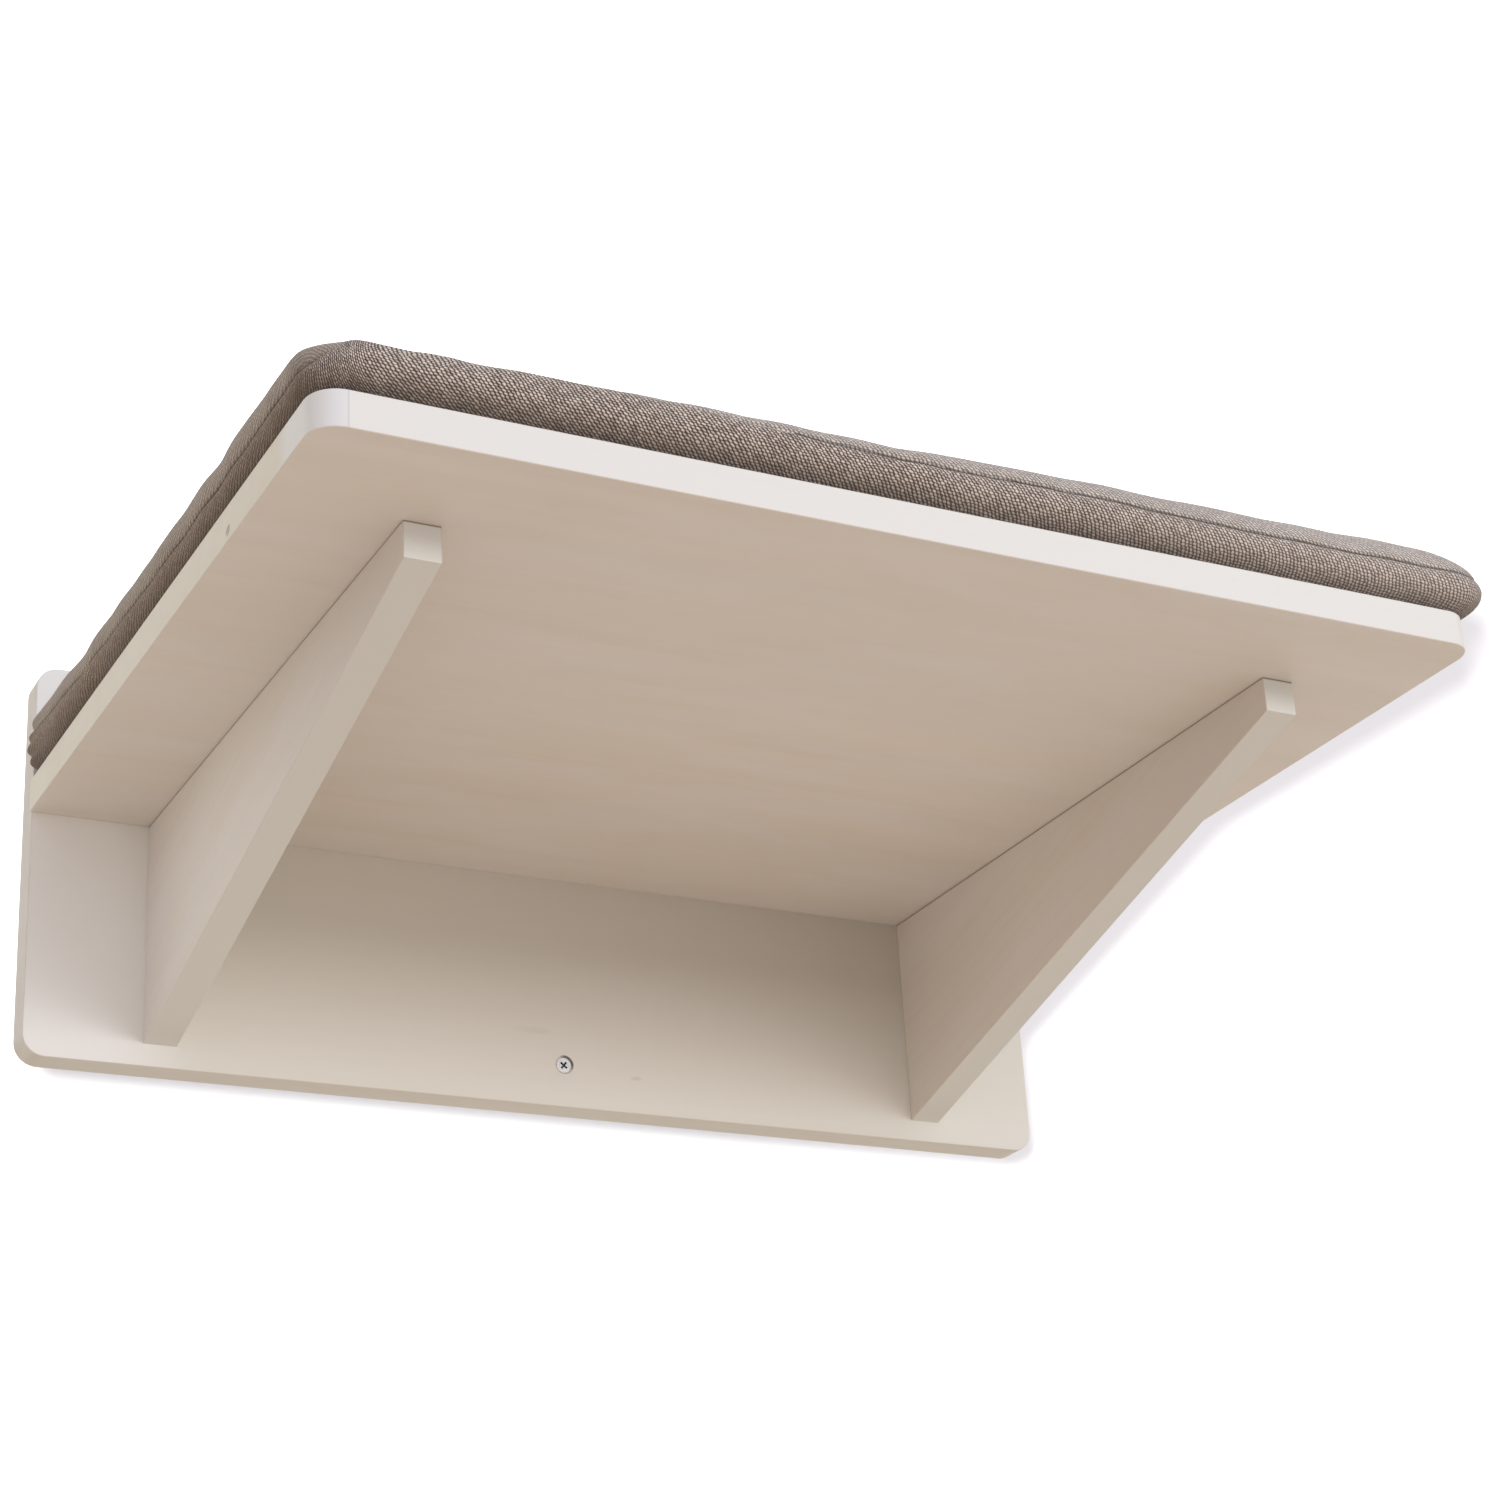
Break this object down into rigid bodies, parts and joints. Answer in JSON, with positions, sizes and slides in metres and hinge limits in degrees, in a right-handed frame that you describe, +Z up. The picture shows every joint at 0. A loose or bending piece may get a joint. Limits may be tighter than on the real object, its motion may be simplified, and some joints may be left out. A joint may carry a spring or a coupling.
{
  "type": "cat wall platform",
  "caption": "Wall-mounted cat resting platform: cushioned wooden board on triangular brackets with an upright back plate screwed to the wall.",
  "frame": {"origin": "middle of the back plate's rear face, on the wall", "axes": "+Y points into the wall, so the platform reaches out to -Y; +X runs to the right for someone who faces the wall, along the board's longest side; +Z runs up"},
  "size_m": [0.509, 0.4154, 0.18],
  "materials": {
    "whitewashed_wood": "whitewashed, matt",
    "dowel_wood": "raw",
    "zinc_steel": "zinc plated",
    "woven_fabric": "chunky weave",
    "foam": "soft foam",
    "hook_tape": "fine hooks",
    "loop_tape": "brushed loops"
  },
  "bodies": {
    "platform": {"back_plate": "whitewashed_wood", "platform_board": "whitewashed_wood", "bracket_left": "whitewashed_wood", "bracket_right": "whitewashed_wood", "wall_screw_upper_left": "zinc_steel", "wall_screw_upper_right": "zinc_steel", "wall_screw_lower": "zinc_steel", "plate_to_board_screws": "zinc_steel", "plate_to_bracket_screws_left": "zinc_steel", "plate_to_bracket_screws_right": "zinc_steel", "board_to_bracket_screws_left": "zinc_steel", "board_to_bracket_screws_right": "zinc_steel", "plate_to_board_dowels": "dowel_wood", "bracket_dowels_left": "dowel_wood", "bracket_dowels_right": "dowel_wood", "hook_strips": "hook_tape"},
    "cushion": {"cushion_upper_panel": "woven_fabric", "cushion_lower_panel": "woven_fabric", "cushion_filling": "foam", "loop_strips": "loop_tape"}
  },
  "joints": [
    {"name": "cushion_lift", "type": "slide", "parent": "platform", "child": "cushion", "axis": [0, 0, 1], "range_m": [0, 0.08]}
  ]
}
